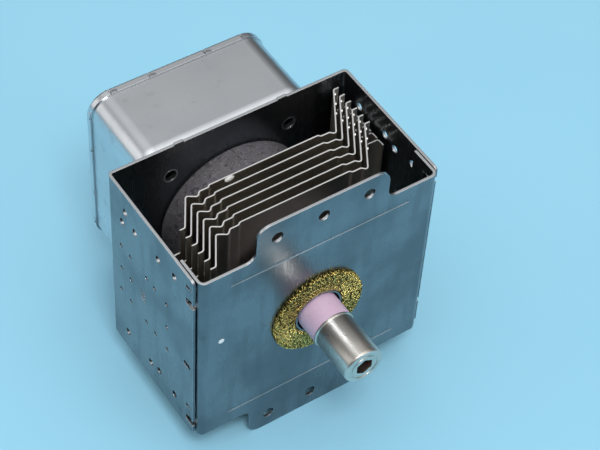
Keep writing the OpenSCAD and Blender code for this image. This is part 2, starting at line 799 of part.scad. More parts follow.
module front_pole_piece() {
    color("#6f7275")
    difference() {
        translate([0, anode_start, 0]) pole_piece();
        translate([0, 0, lead_circle_r]) along_y(anode_start - pole_t - cut)
            cylinder(r = lead_r + lead_space, h = pole_dip + pole_t + 2 * cut);
    }
}

module rear_pole_piece() {
    color("#6f7275") translate([0, anode_end, 0]) rotate([0, 0, 180]) pole_piece();
}

// Thin cup: flange on the pole piece, neck through the magnet and a lip for the ceramic
module seal_cup(neck_len, lip_r) {
    inner = neck_r - seal_t;
    along_y(0) rotate_extrude() polygon([
        [inner, 0], [anode_r, 0], [anode_r, seal_t], [neck_r, seal_t], [neck_r, neck_len],
        [lip_r, neck_len], [lip_r, neck_len - seal_t], [inner, neck_len - seal_t]
    ]);
}

module front_seal_cup() {
    color("#a9adb0") translate([0, front_magnet_end + seal_t, 0]) rotate([0, 0, 180])
        seal_cup(front_magnet_end + seal_t - ceramic_in, neck_lip_r);
}

module rear_seal_cup() {
    color("#a9adb0") translate([0, rear_magnet_start - seal_t, 0])
        seal_cup(stem_seat - rear_magnet_start + seal_t, neck_lip_r);
}

module cathode_filament() {
    end_gap = filament_wire_r + press_gap;
    pitch = (vane_len - 2 * end_gap) / filament_turns;
    color("#4a4a4d") along_y(vane_start + end_gap)
        wire(helix(filament_r, pitch, filament_turns, 0, 12), filament_wire_r, 6);
}

module front_end_hat() {
    color("#77797c") ring(vane_start - hat_t, hat_t, hat_r, cathode_lead_r + press_gap);
}

module rear_end_hat() {
    color("#77797c") ring(vane_end, hat_t, hat_r, cathode_lead_r + pass_gap);
}

module centre_lead() {
    color("#6a6c70") along_y(vane_start - hat_t)
        cylinder(r = cathode_lead_r, h = post_plate_end - vane_start + hat_t);
}

module side_lead() {
    lead_start = vane_end + hat_t;
    color("#6a6c70") translate([side_lead_x, 0, 0]) along_y(lead_start)
        cylinder(r = cathode_lead_r, h = post_plate_end - lead_start);
}

// Copper rod from the top vane, through the front pole piece, to the exhaust tube
module antenna_lead() {
    stops = [
        [0, vane_start, lead_circle_r],
        [0, anode_start + lead_bend, lead_circle_r],
        [0, front_magnet_end - lead_bend, lead_circle_r / 3],
        [0, ceramic_in - lead_bend, 0],
        [0, -ceramic_out - exhaust_len / 2, 0]
    ];
    color("#b87333") wire(round_path(stops, 3 * lead_r), lead_r, 12);
}

module antenna_ceramic() {
    r = ceramic_d / 2;
    color("#cdb4cb") ring(-ceramic_out, ceramic_out + ceramic_in, r, r - ceramic_wall);
}

// Copper tube on its seal disc, with a pinched, closed end
module exhaust_tube() {
    disc_r = cap_d / 2 - cap_wall - pass_gap;
    bore = exhaust_r - exhaust_wall;
    tip = exhaust_tip;
    color("#b87333") along_y(-ceramic_out) rotate_extrude() polygon([
        [bore, 0], [disc_r, 0], [disc_r, -seal_t], [exhaust_r, -seal_t], [exhaust_r, -exhaust_len + tip],
        [exhaust_r - tip, -exhaust_len], [0, -exhaust_len], [0, -exhaust_len + exhaust_wall],
        [bore - tip / 2, -exhaust_len + exhaust_wall], [bore, -exhaust_len + tip]
    ]);
}

module antenna_cap() {
    r = cap_d / 2;
    foot_t = cap_wall;
    color("#b9b6b0") along_y(cap_tip)
    difference() {
        union() {
            rotate_extrude() drawn_profile(r, cap_len, cap_round);
            rotate_extrude() translate([r - cap_wall, cap_len - foot_t - cap_lip]) difference() {
                square([cap_wall + cap_lip, foot_t + cap_lip]);
                translate([cap_wall + cap_lip, 0]) circle(cap_lip);
            }
        }
        translate([0, 0, cap_end_t])
            rotate_extrude() drawn_profile(r - cap_wall, cap_len, cap_round - cap_wall);
        translate([0, 0, -cut]) rotate_extrude()
            translate([cap_ring_d / 2 - cap_ring_w, 0]) square([cap_ring_w, cut + cap_ring_depth]);
        translate([0, 0, -cut]) rotate([0, 0, HEX_TURN])
            cylinder(d = hex_af / cos(30), h = cap_end_t + 2 * cut, $fn = 6);
    }
}

module rf_gasket() {
    r_in = collar_r + press_gap;
    r_out = gasket_d / 2;
    round_r = gasket_t / 2;
    color("#a8963e") along_y(-gasket_t) rotate_extrude() {
        translate([r_in + round_r, 0]) square([r_out - r_in - gasket_t, gasket_t]);
        for (x = [r_in + round_r, r_out - round_r]) translate([x, round_r]) circle(round_r);
    }
}

// Moves children to the filter box's middle line, with their Z axis going back
module at_box(y) {
    translate([0, 0, box_rise]) along_y(y) children();
}

module filter_box() {
    color("#a3a5a6")
    difference() {
        union() {
            difference() {
                at_box(yoke_d) drawn_block(box_w, box_h, box_rim - yoke_d, box_corner_r, box_draw_r);
                at_box(yoke_d + box_wall) drawn_block(
                    box_w - 2 * box_wall, box_h - 2 * box_wall, box_depth,
                    box_corner_r - box_wall, box_draw_r - box_wall
                );
            }
            at_bosses() along_y(back_in) cylinder(r = boss_r, h = yoke_sheet + box_wall);
        }
        along_y(yoke_d - cut) cylinder(r = stem_hole_r, h = box_wall + 2 * cut);
        at_bosses() along_y(back_in - cut) cylinder(r = boss_bore_r, h = yoke_sheet + box_wall + 2 * cut);
        translate([0, box_mid_y, box_floor - cut]) {
            linear_extrude(box_wall + 2 * cut)
                stadium(capacitor_w + 2 * pass_gap, capacitor_d + 2 * pass_gap);
            for (side = [-1, 1]) translate([side * rivet_x, 0, 0])
                cylinder(r = rivet_r + press_gap, h = box_wall + 2 * cut);
        }
    }
}

// Places of the slots in the lid's skirt: two near the middle and two near the corners of each side
function skirt_places(side_len) =
    let (corner_x = side_len / 2 - lid_corner_r)
    [-corner_x, -skirt_slot_x, skirt_slot_x, corner_x];

module skirt_slots(side_len) {
    for (x = skirt_places(side_len))
        translate([x, 0, 0]) cube([skirt_slot_w, lid_w + lid_h, 2 * skirt_len], center = true);
}

// Bent lips, one beside each slot, on the two sides that are far_side apart
module skirt_lips(side_len, far_side) {
    for (turn = [0, 180]) rotate([0, 0, turn]) for (x = skirt_places(side_len))
        translate([x - skirt_slot_w / 2, far_side / 2, 0]) linear_extrude(skirt_len / 2)
            polygon([[-skirt_lip_len, 0], [0, skirt_lip_h], [0, -lid_t / 2], [-skirt_lip_len, -lid_t / 2]]);
}

module filter_lid() {
    color("#9fa2a4")
    difference() {
        union() {
            at_box(box_rim + lid_t) rotate([180, 0, 0])
                drawn_block(lid_w, lid_h, lid_t + skirt_len, lid_corner_r, lid_edge_r);
            at_box(box_rim - skirt_len) {
                skirt_lips(lid_w, lid_h);
                rotate([0, 0, 90]) skirt_lips(lid_h, lid_w);
            }
        }
        at_box(box_rim - skirt_len - cut) {
            plain_block(
                box_w + 2 * press_gap, box_h + 2 * press_gap, skirt_len + cut, box_corner_r + press_gap
            );
        }
        at_box(box_rim - skirt_len) {
            skirt_slots(lid_w);
            rotate([0, 0, 90]) skirt_slots(lid_h);
        }
    }
}

// A block with a rounded-rectangle plan
module plain_block(w, h, depth, corner_r) {
    linear_extrude(depth) {
        square([w - 2 * corner_r, h], center = true);
        square([w, h - 2 * corner_r], center = true);
        for (sx = [-1, 1]) for (sy = [-1, 1])
            translate([sx * (w / 2 - corner_r), sy * (h / 2 - corner_r)]) circle(corner_r);
    }
}

module stem_ceramic() {
    hole_r = cathode_lead_r + press_gap;
    color("#e6e0d8")
    difference() {
        along_y(stem_seat) cylinder(r = stem_r, h = stem_len);
        for (x = [0, side_lead_x]) translate([x, 0, 0]) along_y(stem_seat - cut)
            cylinder(r = hole_r, h = stem_len + 2 * cut);
    }
}

// Terminal plates on the stem ceramic, each with a post for a choke
module stem_terminals() {
    plate_w = 2 * post_r + 3 * pass_gap;
    color("#a9adb0")
    for (end = [[-post_x, 0], [post_x, side_lead_x]])
        difference() {
            union() {
                translate([(end[0] + end[1]) / 2, 0, 0]) along_y(stem_end)
                    linear_extrude(post_plate_t) stadium(abs(end[0] - end[1]) + plate_w, plate_w);
                translate([end[0], 0, 0]) along_y(stem_end) cylinder(r = post_r, h = post_plate_t + post_len);
            }
            translate([end[1], 0, 0]) along_y(stem_end - cut)
                cylinder(r = cathode_lead_r + press_gap, h = post_plate_t + 2 * cut);
        }
}

// Wire of one choke: post of the stem, coil and pin of the capacitor
module choke_coil(side) {
    start = [coil_x, coil_y, -coil_top];
    turns = [for (p = helix(coil_r, coil_pitch, coil_turns, -90)) p + start];
    last = turns[len(turns) - 1];
    down = coil_wire_r * 2;
    path = concat(
        [
            [blade_x, box_mid_y, pin_top + coil_wire_r + press_gap],
            [coil_x - down, coil_lead_y - coil_wire_r, turns[0][2] - 2 * down]
        ],
        [[coil_x - down / 2, turns[0][1] - down / 2, turns[0][2] - down / 2]],
        turns,
        [
            [coil_x + down / 2, last[1] - down / 2, last[2] + down / 3],
            [coil_x - down, coil_lead_y, last[2] - down],
            [post_x, coil_lead_y, 0]
        ]
    );
    color("#b5763a") mirror([side < 0 ? 1 : 0, 0, 0]) wire(path, coil_wire_r);
}

module choke_core(side) {
    core_r = coil_r - coil_wire_r - pass_gap;
    core_len = coil_pitch * coil_turns + 2 * core_end;
    color("#2e2e30") translate([side * coil_x, coil_y, 0]) cylinder(r = core_r, h = core_len, center = true);
}

module capacitor_flange() {
    color("#b3b6b8") translate([0, box_mid_y, box_floor - capacitor_flange_t])
    difference() {
        linear_extrude(capacitor_flange_t) stadium(capacitor_flange_w, capacitor_flange_d);
        translate([0, 0, -cut]) linear_extrude(capacitor_flange_t + 2 * cut)
            stadium(capacitor_w + 2 * press_gap, capacitor_d + 2 * press_gap);
        for (side = [-1, 1]) translate([side * rivet_x, 0, -cut])
            cylinder(r = rivet_r + press_gap, h = capacitor_flange_t + 2 * cut);
    }
}

module capacitor_body() {
    bottom = box_floor - capacitor_flange_t - capacitor_out;
    top = box_floor + box_wall + capacitor_in;
    color("#8c3b2e") translate([0, box_mid_y, bottom])
    difference() {
        linear_extrude(top - bottom) stadium(capacitor_w, capacitor_d);
        for (side = [-1, 1]) translate([side * blade_x, 0, -cut])
            linear_extrude(top - bottom + 2 * cut)
                square([blade_t + 2 * press_gap, blade_w + 2 * press_gap], center = true);
    }
}

// Blade terminals outside, with a round pin on their inner ends
module capacitor_blades() {
    bottom = box_floor - capacitor_flange_t - capacitor_out - blade_len;
    top = box_floor + box_wall + capacitor_in;
    color("#c9c9c4")
    for (side = [-1, 1]) translate([side * blade_x, box_mid_y, 0]) {
        translate([0, 0, bottom]) linear_extrude(top - bottom) square([blade_t, blade_w], center = true);
        translate([0, 0, top]) cylinder(r = post_r, h = pin_top - top);
    }
}

module capacitor_rivets() {
    grip = capacitor_flange_t + box_wall;
    color("#b9bcbe")
    for (side = [-1, 1]) translate([side * rivet_x, box_mid_y, box_floor - capacitor_flange_t]) {
        translate([0, 0, -rivet_head_t]) cylinder(r1 = rivet_r, r2 = rivet_head_r, h = rivet_head_t);
        cylinder(r = rivet_r, h = grip);
        translate([0, 0, grip]) cylinder(r1 = rivet_head_r, r2 = rivet_r, h = rivet_head_t);
    }
}

yoke_frame();
front_plate();
front_magnet();
rear_magnet();
anode_cylinder();
anode_vanes();
strap_rings();
front_pole_piece();
rear_pole_piece();
front_seal_cup();
rear_seal_cup();
cathode_filament();
front_end_hat();
rear_end_hat();
centre_lead();
side_lead();
antenna_lead();
antenna_ceramic();
exhaust_tube();
antenna_cap();
rf_gasket();
filter_box();
filter_lid();
stem_ceramic();
stem_terminals();
capacitor_flange();
capacitor_body();
capacitor_blades();
capacitor_rivets();
for (i = [1:FIN_COUNT]) cooling_fin(i);
for (i = [1:2]) choke_core(2 * i - 3);
for (i = [1:2]) choke_coil(2 * i - 3);
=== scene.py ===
"""Looks of a cavity magnetron: finishes, knitted gasket, glue dab, paint drop and studio."""

import logging
import math
from collections.abc import Iterator
from dataclasses import dataclass, field
from enum import Enum
from functools import cache
from typing import Any

import bpy
from mathutils import Matrix, Vector, noise


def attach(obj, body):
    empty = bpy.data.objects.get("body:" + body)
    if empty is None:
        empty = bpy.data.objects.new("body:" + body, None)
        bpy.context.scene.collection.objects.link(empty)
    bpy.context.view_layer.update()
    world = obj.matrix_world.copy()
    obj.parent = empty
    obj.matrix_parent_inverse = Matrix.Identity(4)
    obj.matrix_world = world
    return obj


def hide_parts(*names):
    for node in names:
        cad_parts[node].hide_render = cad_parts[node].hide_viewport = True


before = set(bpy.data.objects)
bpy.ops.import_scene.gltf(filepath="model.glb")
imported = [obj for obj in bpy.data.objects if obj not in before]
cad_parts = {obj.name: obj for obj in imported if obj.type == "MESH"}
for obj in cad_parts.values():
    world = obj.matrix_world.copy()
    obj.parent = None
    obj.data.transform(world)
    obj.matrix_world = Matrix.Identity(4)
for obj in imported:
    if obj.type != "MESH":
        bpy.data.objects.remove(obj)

LOG = logging.getLogger("magnetron")
MM = 0.001
# Where the noise is sampled, the same in every run
SEED = Vector((3.7, 1.9, 8.3))
# Without a seed of its own, vector noise takes one from the clock
NOISE_SEED = 7
# A mix node repeats its sockets' names for each kind of data, so the colour ones go by number
MIX_AMOUNT, MIX_UNDER, MIX_OVER, MIX_RESULT = 0, 6, 7, 2

Colour = tuple[float, float, float, float]
Triple = tuple[float, float, float]
Tree = bpy.types.NodeTree
Socket = bpy.types.NodeSocket


def to_linear(hex_colour: str) -> Colour:
    """Turns an sRGB hex colour into linear values.

    Args:
        hex_colour: Six hex digits after a hash sign.

    Returns:
        Red, green, blue and an alpha of one.
    """
    parts = [int(hex_colour[i : i + 2], 16) / 255 for i in (1, 3, 5)]
    red, green, blue = (
        c / 12.92 if c <= 0.04045 else ((c + 0.055) / 1.055) ** 2.4 for c in parts
    )
    return red, green, blue, 1.0


def add_node(tree: Tree, kind: str, inputs: dict[Any, Any], **settings: Any) -> bpy.types.Node:
    """Adds a node with its settings, values and links.

    Args:
        tree: The tree that gets the node.
        kind: The node's type name.
        inputs: A value, or a socket to link, for each input's name or number.
        **settings: Properties of the node itself.

    Returns:
        The new node.
    """
    node = tree.nodes.new(kind)
    for key, value in settings.items():
        setattr(node, key, value)
    for key, value in inputs.items():
        if isinstance(value, bpy.types.NodeSocket):
            tree.links.new(value, node.inputs[key])
        else:
            node.inputs[key].default_value = value
    return node


class Texture(Enum):
    """Kinds of procedural pattern, with the node and the output that give them."""

    CLOUD = ("ShaderNodeTexNoise", 0)
    CELLS = ("ShaderNodeTexVoronoi", 0)
    FLAKES = ("ShaderNodeTexVoronoi", 1)


@dataclass(frozen=True)
class Pattern:
    """A procedural pattern measured in millimetres.

    Attributes:
        size: Size of its features.
        low: Value of the texture that counts as nothing.
        high: Value of the texture that counts as full.
        detail: How many finer octaves break it up.
        stretch: How much longer its features are along X, Y and Z.
        texture: Kind of texture.
    """

    size: float
    low: float = 0.4
    high: float = 0.6
    detail: float = 3.0
    stretch: Triple = (1.0, 1.0, 1.0)
    texture: Texture = Texture.CLOUD

    def value(self, tree: Tree) -> Socket:
        """Adds the pattern to a tree.

        Args:
            tree: The tree that gets the nodes.

        Returns:
            The pattern's value, from 0 to 1.
        """
        kind, output = self.texture.value
        place = add_node(tree, "ShaderNodeTexCoord", {})
        per_metre = [1 / (self.size * MM * s) for s in self.stretch]
        scaled = add_node(
            tree, "ShaderNodeMapping", {"Vector": place.outputs["Object"], "Scale": per_metre}
        )
        inputs = {"Vector": scaled.outputs[0], "Scale": 1.0, "Detail": self.detail}
        texture = add_node(tree, kind, inputs)
        limits = {"Value": texture.outputs[output], "From Min": self.low, "From Max": self.high}
        return add_node(tree, "ShaderNodeMapRange", limits).outputs[0]


@dataclass(frozen=True)
class LevelFaces:
    """The faces of a piece that look up or down, such as the cut edges of upright sheets, where a
    layer paints a highlight.

    Attributes:
        low: Height of the normal that counts as nothing.
        high: Height of the normal that counts as full.
    """

    low: float = 0.6
    high: float = 0.8

    def value(self, tree: Tree) -> Socket:
        """Adds the mask to a tree.

        Args:
            tree: The tree that gets the nodes.

        Returns:
            The mask's value, from 0 to 1.
        """
        place = add_node(tree, "ShaderNodeTexCoord", {})
        normal = add_node(tree, "ShaderNodeSeparateXYZ", {0: place.outputs["Normal"]})
        level = add_node(
            tree, "ShaderNodeMath", {0: normal.outputs["Z"]}, operation="ABSOLUTE"
        )
        limits = {"Value": level.outputs[0], "From Min": self.low, "From Max": self.high}
        return add_node(tree, "ShaderNodeMapRange", limits).outputs[0]


@dataclass(frozen=True)
class Layer:
    """A tint, a painted highlight or painted shade that a pattern or a mask lays over the
    material.

    Attributes:
        pattern: Where the tint lies.
        colour: The tint.
        strength: How much of it shows where the pattern is full.
        roughness: What it adds to the roughness there.
    """

    pattern: Pattern | LevelFaces
    colour: str
    strength: float
    roughness: float = 0.0


@dataclass(frozen=True)
class Relief:
    """A small unevenness that a pattern gives the surface, with its depth in millimetres."""

    pattern: Pattern
    depth: float


@dataclass(frozen=True)
class Edge:
    """Bare, bright edges, where wear shows the metal. On the yoke and the fins the brightness is
    also a painted highlight.

    Attributes:
        colour: Colour of the bare metal.
        radius: Radius of the rounding, in millimetres.
        strength: How much of the bare metal shows.
        start: Cosine between the rounded and the flat normal at which the wear starts.
        full: The same at which it is full.
        samples: Rays that find the rounding.
    """

    colour: str
    radius: float
    strength: float
    start: float = 0.985
    full: float = 0.86
    samples: int = 6

    def worn(self, tree: Tree) -> Socket:
        """Adds a mask of the edges, where the rounded normal leaves the flat one.

        Args:
            tree: The tree that gets the nodes.

        Returns:
            The mask's value, from 0 to the edge's strength.
        """
        rounded = add_node(
            tree, "ShaderNodeBevel", {"Radius": self.radius * MM}, samples=self.samples
        )
        flat = add_node(tree, "ShaderNodeNewGeometry", {})
        close = add_node(
            tree,
            "ShaderNodeVectorMath",
            {0: rounded.outputs[0], 1: flat.outputs["Normal"]},
            operation="DOT_PRODUCT",
        )
        limits = {
            "Value": close.outputs["Value"],
            "From Min": self.start,
            "From Max": self.full,
            "To Max": self.strength,
        }
        return add_node(tree, "ShaderNodeMapRange", limits).outputs[0]


@dataclass(frozen=True)
class Finish:
    """A real material.

    Attributes:
        name: Name of the material, which no slot of the model has.
        colour: Base colour, as sRGB hex.
        roughness: Base roughness.
        metallic: One for metal, and nothing for anything else.
        layers: Tints over the base, from the lowest, some of them painted highlights, glints or
            shade.
        reliefs: Unevenness of the surface.
        edge: Worn edges, if it has any, on some finishes also a painted highlight.
    """

    name: str
    colour: str
    roughness: float
    metallic: float = 1.0
    layers: tuple[Layer, ...] = ()
    reliefs: tuple[Relief, ...] = ()
    edge: Edge | None = None

    @cache
    def material(self) -> bpy.types.Material:
        """Builds the material, once for all the pieces that share it.

        Returns:
            The material.
        """
        made = bpy.data.materials.new(self.name)
        made.use_nodes = True
        tree = made.node_tree
        shader = next(n for n in tree.nodes if n.type == "BSDF_PRINCIPLED")
        shader.inputs["Metallic"].default_value = self.metallic
        self._paint(tree, shader)
        self._shape(tree, shader)
        return made

    def _paint(self, tree: Tree, shader: bpy.types.Node) -> None:
        """Lays the tints over the base colour and the roughness.

        Args:
            tree: The material's tree.
            shader: Its surface shader.
        """
        colour: Any = to_linear(self.colour)
        rough: Any = self.roughness
        for layer in self.layers:
            value = layer.pattern.value(tree)
            amount = add_node(
                tree, "ShaderNodeMath", {0: value, 1: layer.strength}, operation="MULTIPLY"
            )
            tint = {
                MIX_AMOUNT: amount.outputs[0],
                MIX_UNDER: colour,
                MIX_OVER: to_linear(layer.colour),
            }
            mix = add_node(tree, "ShaderNodeMix", tint, data_type="RGBA")
            colour = mix.outputs[MIX_RESULT]
            if layer.roughness:
                rough = add_node(
                    tree,
                    "ShaderNodeMath",
                    {0: value, 1: layer.roughness, 2: rough},
                    operation="MULTIPLY_ADD",
                ).outputs[0]
        if self.edge is not None:
            bare = {
                MIX_AMOUNT: self.edge.worn(tree),
                MIX_UNDER: colour,
                MIX_OVER: to_linear(self.edge.colour),
            }
            mix = add_node(tree, "ShaderNodeMix", bare, data_type="RGBA")
            colour = mix.outputs[MIX_RESULT]
        for name, value in (("Base Color", colour), ("Roughness", rough)):
            if isinstance(value, bpy.types.NodeSocket):
                tree.links.new(value, shader.inputs[name])
            else:
                shader.inputs[name].default_value = value

    def _shape(self, tree: Tree, shader: bpy.types.Node) -> None:
        """Adds the rounded edges and the relief to the shader's normal.

        Args:
            tree: The material's tree.
            shader: Its surface shader.
        """
        normal: Socket | None = None
        if self.edge is not None:
            rounded = add_node(
                tree,
                "ShaderNodeBevel",
                {"Radius": self.edge.radius * MM},
                samples=self.edge.samples,
            )
            normal = rounded.outputs[0]
        for relief in self.reliefs:
            inputs: dict[Any, Any] = {
                "Height": relief.pattern.value(tree),
                "Distance": relief.depth * MM,
            }
            if normal is not None:
                inputs["Normal"] = normal
            normal = add_node(tree, "ShaderNodeBump", inputs).outputs["Normal"]
        if normal is not None:
            tree.links.new(normal, shader.inputs["Normal"])


# Scales are in real millimetres, but a pixel of the main view covers about 0.4 mm. Rolling lines,
# hairlines and the grain of metal and ceramic, really 0.02 to 0.1 mm fine, are drawn coarser, at
# 0.3 to 0.7 mm, to show at all

# Rolled sheet keeps fine lines along the strip, which ran up the yoke (really some 0.05 mm apart)
STRIP_GRAIN = (1.0, 1.0, 40.0)
# Smears from handling run up the yoke too
SMEAR = (1.0, 1.0, 5.0)
# Deep drawing leaves faint lines along the depth axis (really some 0.1 mm apart)
DRAW_GRAIN = (1.0, 60.0, 1.0)
# The fins' strip was rolled across their height
FIN_GRAIN = (30.0, 30.0, 1.0)
# The cap was drawn along the antenna
CAP_GRAIN = (1.0, 30.0, 1.0)
# Rubs on the ceramic run the same way
RUB = (1.0, 3.0, 1.0)
# The blades are wiped along their length
BLADE_GRAIN = (1.0, 1.0, 30.0)

# Zinc plate: satin grey that takes up its surroundings, clouded by handling, with bare metal and a
# painted highlight at cut edges
ZINC_STEEL = Finish(
    "zinc_plated_steel",
    "#858a8f",
    0.24,
    layers=(
        Layer(Pattern(26, 0.4, 0.62), "#61696f", 0.7, 0.05),
        Layer(Pattern(6, 0.52, 0.68, 1.0, SMEAR), "#5f676c", 0.35, 0.04),
        Layer(Pattern(0.5, 0.42, 0.6, stretch=STRIP_GRAIN), "#787f83", 0.1, 0.03),
        Layer(Pattern(8, 0.64, 0.76, detail=5.0), "#565d62", 0.35, 0.1),
        Layer(Pattern(1.6, 0.74, 0.78), "#4a5156", 0.4, 0.1),
        # Painted highlight: faces that look up or down, such as cut edges and hole rims,
        # brightened as if lit from above
        Layer(LevelFaces(), "#d3d6d8", 0.9),
    ),
    reliefs=(
        Relief(Pattern(26, 0.2, 0.8, detail=1.0), 0.10),
        Relief(Pattern(0.35, 0.2, 0.8, stretch=STRIP_GRAIN), 0.0002),
    ),
    # Bare metal at worn edges, brightened further as a painted highlight along the rounding
    edge=Edge("#d3d6d8", 0.22, 0.85),
)

# Drawn steel: paler than the yoke, satin, with faint lines along the draw
BOX_STEEL = Finish(
    "drawn_tinned_steel",
    "#d6d9dc",
    0.27,
    layers=(
        Layer(Pattern(20, 0.35, 0.7), "#bdc1c5", 0.5, 0.05),
        Layer(Pattern(0.7, 0.4, 0.62, stretch=DRAW_GRAIN), "#bfc2c6", 0.1, 0.015),
        Layer(Pattern(5, 0.62, 0.75, detail=4.0), "#9a9fa4", 0.3, 0.08),
    ),
    reliefs=(
        Relief(Pattern(22, 0.2, 0.8, detail=1.0), 0.08),
        Relief(Pattern(0.5, 0.2, 0.8, stretch=DRAW_GRAIN), 0.0001),
    ),
    edge=Edge("#dfe1e3", 0.2, 0.7),
)

# Sintered ferrite: matt dark grey, peppered with paler grains and dust
FERRITE = Finish(
    "sintered_ferrite",
    "#5a585c",
    0.75,
    metallic=0.0,
    layers=(
        Layer(Pattern(9, 0.4, 0.66), "#6b676b", 0.6),
        Layer(Pattern(4, 0.5, 0.66), "#6a6070", 0.5),
        Layer(Pattern(0.7, 0.55, 0.66, detail=4.0), "#969294", 0.5, 0.1),
        Layer(Pattern(1.6, 0.58, 0.66), "#2b2a2d", 0.75),
    ),
    reliefs=(Relief(Pattern(0.9, 0.3, 0.7), 0.08),),
    edge=Edge("#6b696b", 0.4, 0.5),
)

# Fin sheet: mill-finish aluminium dulled by heat, with a painted highlight that makes the cut
# edges draw white lines
FIN_ALUMINIUM = Finish(
    "mill_finish_aluminium",
    "#d8d2c9",
    0.31,
    layers=(
        Layer(Pattern(12, 0.35, 0.68), "#c0b7ab", 0.6, 0.06),
        Layer(Pattern(0.4, 0.4, 0.62, stretch=FIN_GRAIN), "#c9c2b6", 0.4, 0.05),
        # Painted highlight: the cut edges, which look up or down, brightened as if lit from above
        Layer(LevelFaces(), "#f0f0ee", 1.0, 0.11),
    ),
    reliefs=(Relief(Pattern(9, 0.2, 0.8, detail=1.0), 0.06),),
    # Edge rounding brightened as a painted highlight
    edge=Edge("#dcdbd8", 0.12, 0.9),
)

# Oxygen-free copper: warm red metal, darkened where the brazing heat reached it
COPPER = Finish(
    "brazed_copper",
    "#c77f5a",
    0.3,
    layers=(
        Layer(Pattern(8, 0.36, 0.68), "#8f5238", 0.6, 0.1),
        Layer(Pattern(1.2, 0.6, 0.7), "#6b3d2a", 0.4, 0.1),
    ),
    reliefs=(Relief(Pattern(0.5, 0.2, 0.8), 0.006),),
)

# Soft iron: grey, slightly rough, with brown warmth in its clouds
SOFT_IRON = Finish(
    "soft_iron",
    "#85868a",
    0.42,
    layers=(
        Layer(Pattern(7, 0.4, 0.66), "#6a6764", 0.6, 0.08),
        Layer(Pattern(0.6, 0.5, 0.66), "#77757a", 0.4),
    ),
    reliefs=(Relief(Pattern(0.6, 0.2, 0.8), 0.008),),
)

# Seal alloy: thin pale sheet metal with a soft shine
SEAL_METAL = Finish(
    "seal_alloy",
    "#b4b5b3",
    0.3,
    layers=(
        Layer(Pattern(6, 0.4, 0.66), "#9b9c9c", 0.6, 0.06),
        Layer(Pattern(0.5, 0.5, 0.66), "#a5a5a2", 0.4),
    ),
    reliefs=(Relief(Pattern(0.5, 0.2, 0.8), 0.004),),
)

# Pink alumina: matt lilac ceramic with a fine ground grain and faint grey rubs
PINK_ALUMINA = Finish(
    "pressed_pink_alumina",
    "#e2c4de",
    0.6,
    metallic=0.0,
    layers=(
        Layer(Pattern(6, 0.4, 0.66), "#d8b6d3", 0.6),
        Layer(Pattern(0.35, 0.5, 0.66), "#ecd2e8", 0.5, 0.08),
        Layer(Pattern(1.4, 0.66, 0.74, stretch=RUB), "#b9a7bb", 0.35),
    ),
    reliefs=(Relief(Pattern(0.3, 0.3, 0.7), 0.01),),
)

# White alumina: matt off-white ceramic with a fine grain
WHITE_ALUMINA = Finish(
    "pressed_white_alumina",
    "#e6e1d9",
    0.5,
    metallic=0.0,
    layers=(
        Layer(Pattern(5, 0.4, 0.66), "#d8d1c6", 0.6),
        Layer(Pattern(0.35, 0.5, 0.66), "#efebe4", 0.5, 0.08),
    ),
    reliefs=(Relief(Pattern(0.3, 0.3, 0.7), 0.01),),
)

# Nickel plate: softly polished, a little warm, with hairlines along the draw and a bright rim
NICKEL = Finish(
    "nickel_plate",
    "#dcd6ce",
    0.27,
    layers=(
        Layer(Pattern(7, 0.38, 0.68), "#c0bab2", 0.6, 0.06),
        Layer(Pattern(0.4, 0.45, 0.62, stretch=CAP_GRAIN), "#b0aaa2", 0.3, 0.05),
        Layer(Pattern(1.3, 0.66, 0.73), "#958f87", 0.4, 0.12),
    ),
    reliefs=(
        Relief(Pattern(6, 0.2, 0.8, detail=1.0), 0.02),
        Relief(Pattern(0.3, 0.2, 0.8, stretch=CAP_GRAIN), 0.002),
    ),
    edge=Edge("#e9e6df", 0.2, 0.7),
)

# Brass wire: golden strands whose loops lie at all angles. Flecks of painted glint and painted
# shade stand for loops that catch the light or turn away from it. They are drawn 0.6 to 0.9 mm
# wide, coarser than the glints of the real wire of about 0.1 mm, which would blur to one tone
BRASS_WIRE = Finish(
    "knitted_brass_wire",
    "#77661d",
    0.24,
    layers=(
        Layer(Pattern(6, 0.4, 0.66), "#655615", 0.6),
        # Painted shade: flecks where loops turn away from the light
        Layer(Pattern(0.8, 0.44, 0.56, texture=Texture.FLAKES), "#2a2408", 0.9, 0.1),
        # Painted glints: flecks where loops catch the light
        Layer(Pattern(0.6, 0.74, 0.82, texture=Texture.FLAKES), "#f6e08a", 0.95, -0.1),
    ),
    reliefs=(Relief(Pattern(0.9, 0.0, 0.9, texture=Texture.CELLS), 0.4),),
)

# Inner turns of the same wire: the knit seen in depth, painted dark for the shade inside the knit,
# with flecks of painted glint
BRASS_DEPTH_SHADED = Finish(
    "packed_brass_wire_shaded",
    "#6b6128",
    0.45,
    layers=(
        # Painted shade deep in the knit
        Layer(Pattern(0.7, 0.45, 0.6, texture=Texture.CELLS), "#1d1a0a", 0.9, 0.1),
        # Painted glints
        Layer(Pattern(0.8, 0.58, 0.68), "#8d8044", 0.8),
    ),
    reliefs=(Relief(Pattern(0.4, 0.2, 0.8), 0.15),),
)

# Tungsten: dark grey wire with a dry shine
TUNGSTEN = Finish(
    "drawn_tungsten",
    "#77797c",
    0.4,
    layers=(
        Layer(Pattern(3, 0.4, 0.66), "#5a5b5f", 0.6, 0.08),
        Layer(Pattern(0.4, 0.5, 0.66), "#8b8c8e", 0.4),
    ),
    reliefs=(Relief(Pattern(0.3, 0.2, 0.8), 0.004),),
)

# Choke ferrite: smooth charcoal rod with a faint grain
CHOKE_FERRITE = Finish(
    "extruded_choke_ferrite",
    "#2e2e30",
    0.55,
    metallic=0.0,
    layers=(
        Layer(Pattern(4, 0.4, 0.66), "#3c3c3e", 0.6),
        Layer(Pattern(0.4, 0.55, 0.66), "#59595a", 0.5, 0.1),
    ),
    reliefs=(Relief(Pattern(0.4, 0.3, 0.7), 0.02),),
)

